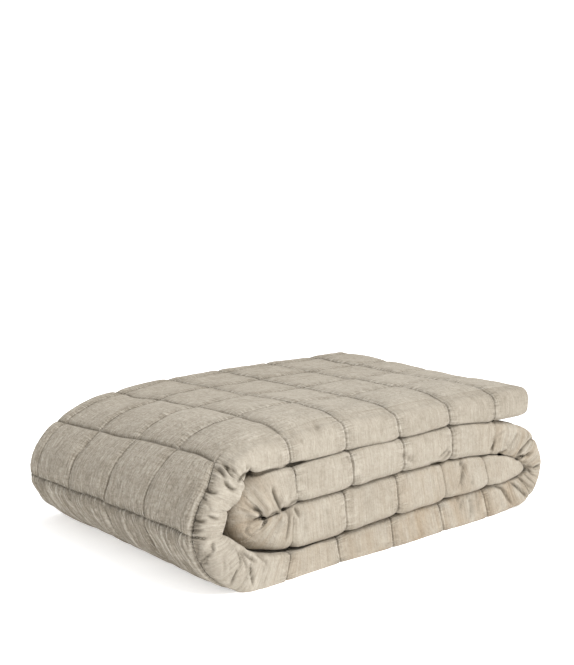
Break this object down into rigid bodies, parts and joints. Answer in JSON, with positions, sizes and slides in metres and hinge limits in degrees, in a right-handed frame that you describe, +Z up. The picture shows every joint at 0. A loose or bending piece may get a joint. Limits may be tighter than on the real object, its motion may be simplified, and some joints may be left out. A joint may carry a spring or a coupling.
{
  "type": "folded quilted bedspread",
  "caption": "Quilted velvet bedspread in stone beige, doubled lengthwise into a thick strip and folded into a loose flat spiral, with puffed squares and rounded folds.",
  "frame": {"origin": "centre of the bounding box's bottom, on the surface it lies on", "axes": "+X along the folded strip, towards the right fold and the free end on top; +Y from the folded rims at the front to the hems at the back; +Z up"},
  "size_m": [0.6454, 0.447, 0.2],
  "materials": {
    "velvet": "washed cotton velvet, matt with a soft sheen and a faint crosswise slub",
    "thread": "matt sewing thread, a shade darker than the cloth"
  },
  "bodies": {
    "root": {"bedspread": "velvet"}
  },
  "joints": []
}
